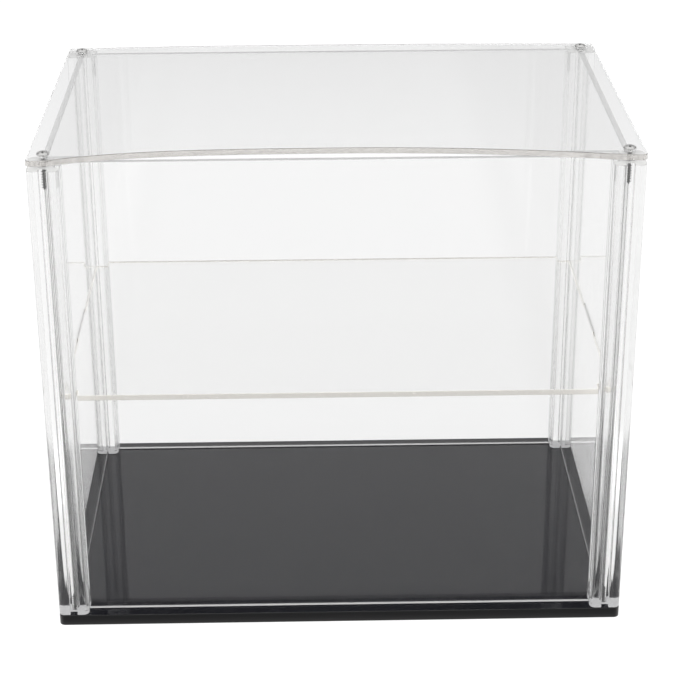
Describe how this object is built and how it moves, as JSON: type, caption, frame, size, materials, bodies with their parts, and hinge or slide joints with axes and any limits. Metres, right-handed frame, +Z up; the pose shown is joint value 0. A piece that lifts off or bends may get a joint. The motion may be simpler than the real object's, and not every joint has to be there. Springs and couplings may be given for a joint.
{
  "type": "two-tier display case",
  "caption": "Clear sheet display case on a gloss black base: slotted corner posts hold the panels, a tabbed shelf makes two tiers, and a screwed lid closes the top.",
  "frame": {"origin": "middle of the base plate's underside, on the table the case stands on", "axes": "+X to the case's right, +Y to its back, +Z up"},
  "size_m": [0.3, 0.2, 0.2673],
  "materials": {
    "base_black": "polished gloss black acrylic sheet",
    "post_clear": "clear extruded acrylic, polished sides and matt sawn ends",
    "panel_clear": "clear polished acrylic sheet, laser-cut edges",
    "shelf_clear": "clear polished acrylic sheet, laser-cut edges",
    "lid_clear": "clear polished acrylic sheet, laser-cut edges",
    "screw_steel": "plain bright steel"
  },
  "bodies": {
    "case": {"base_plate": "base_black", "post_front_left": "post_clear", "post_front_right": "post_clear", "post_back_left": "post_clear", "post_back_right": "post_clear", "base_screw_front_left": "screw_steel", "base_screw_front_right": "screw_steel", "base_screw_back_left": "screw_steel", "base_screw_back_right": "screw_steel"},
    "lid": {"lid_plate": "lid_clear"},
    "screw_front_left": {"lid_screw_front_left": "screw_steel"},
    "screw_front_right": {"lid_screw_front_right": "screw_steel"},
    "screw_back_left": {"lid_screw_back_left": "screw_steel"},
    "screw_back_right": {"lid_screw_back_right": "screw_steel"},
    "front_wall": {"front_panel": "panel_clear"},
    "back_wall": {"back_panel": "panel_clear"},
    "shelf_unit": {"shelf": "shelf_clear", "left_panel": "panel_clear", "right_panel": "panel_clear"}
  },
  "joints": [
    {"name": "lid_lift", "type": "slide", "parent": "case", "child": "lid", "axis": [0, 0, 1], "range_m": [0, 0.3]},
    {"name": "front_panel_lift", "type": "slide", "parent": "case", "child": "front_wall", "axis": [0, 0, 1], "range_m": [0, 0.258]},
    {"name": "back_panel_lift", "type": "slide", "parent": "case", "child": "back_wall", "axis": [0, 0, 1], "range_m": [0, 0.258]},
    {"name": "shelf_unit_lift", "type": "slide", "parent": "case", "child": "shelf_unit", "axis": [0, 0, 1], "range_m": [0, 0.258]},
    {"name": "screw_front_left_draw", "type": "slide", "parent": "lid", "child": "screw_front_left", "axis": [0, 0, 1], "range_m": [0, 0.02]},
    {"name": "screw_front_right_draw", "type": "slide", "parent": "lid", "child": "screw_front_right", "axis": [0, 0, 1], "range_m": [0, 0.02]},
    {"name": "screw_back_left_draw", "type": "slide", "parent": "lid", "child": "screw_back_left", "axis": [0, 0, 1], "range_m": [0, 0.02]},
    {"name": "screw_back_right_draw", "type": "slide", "parent": "lid", "child": "screw_back_right", "axis": [0, 0, 1], "range_m": [0, 0.02]}
  ],
  "couplings": [
    {"joint": "front_panel_lift", "follows": "lid_lift", "ratio": 0.86},
    {"joint": "back_panel_lift", "follows": "lid_lift", "ratio": 0.86},
    {"joint": "shelf_unit_lift", "follows": "lid_lift", "ratio": 0.86}
  ]
}
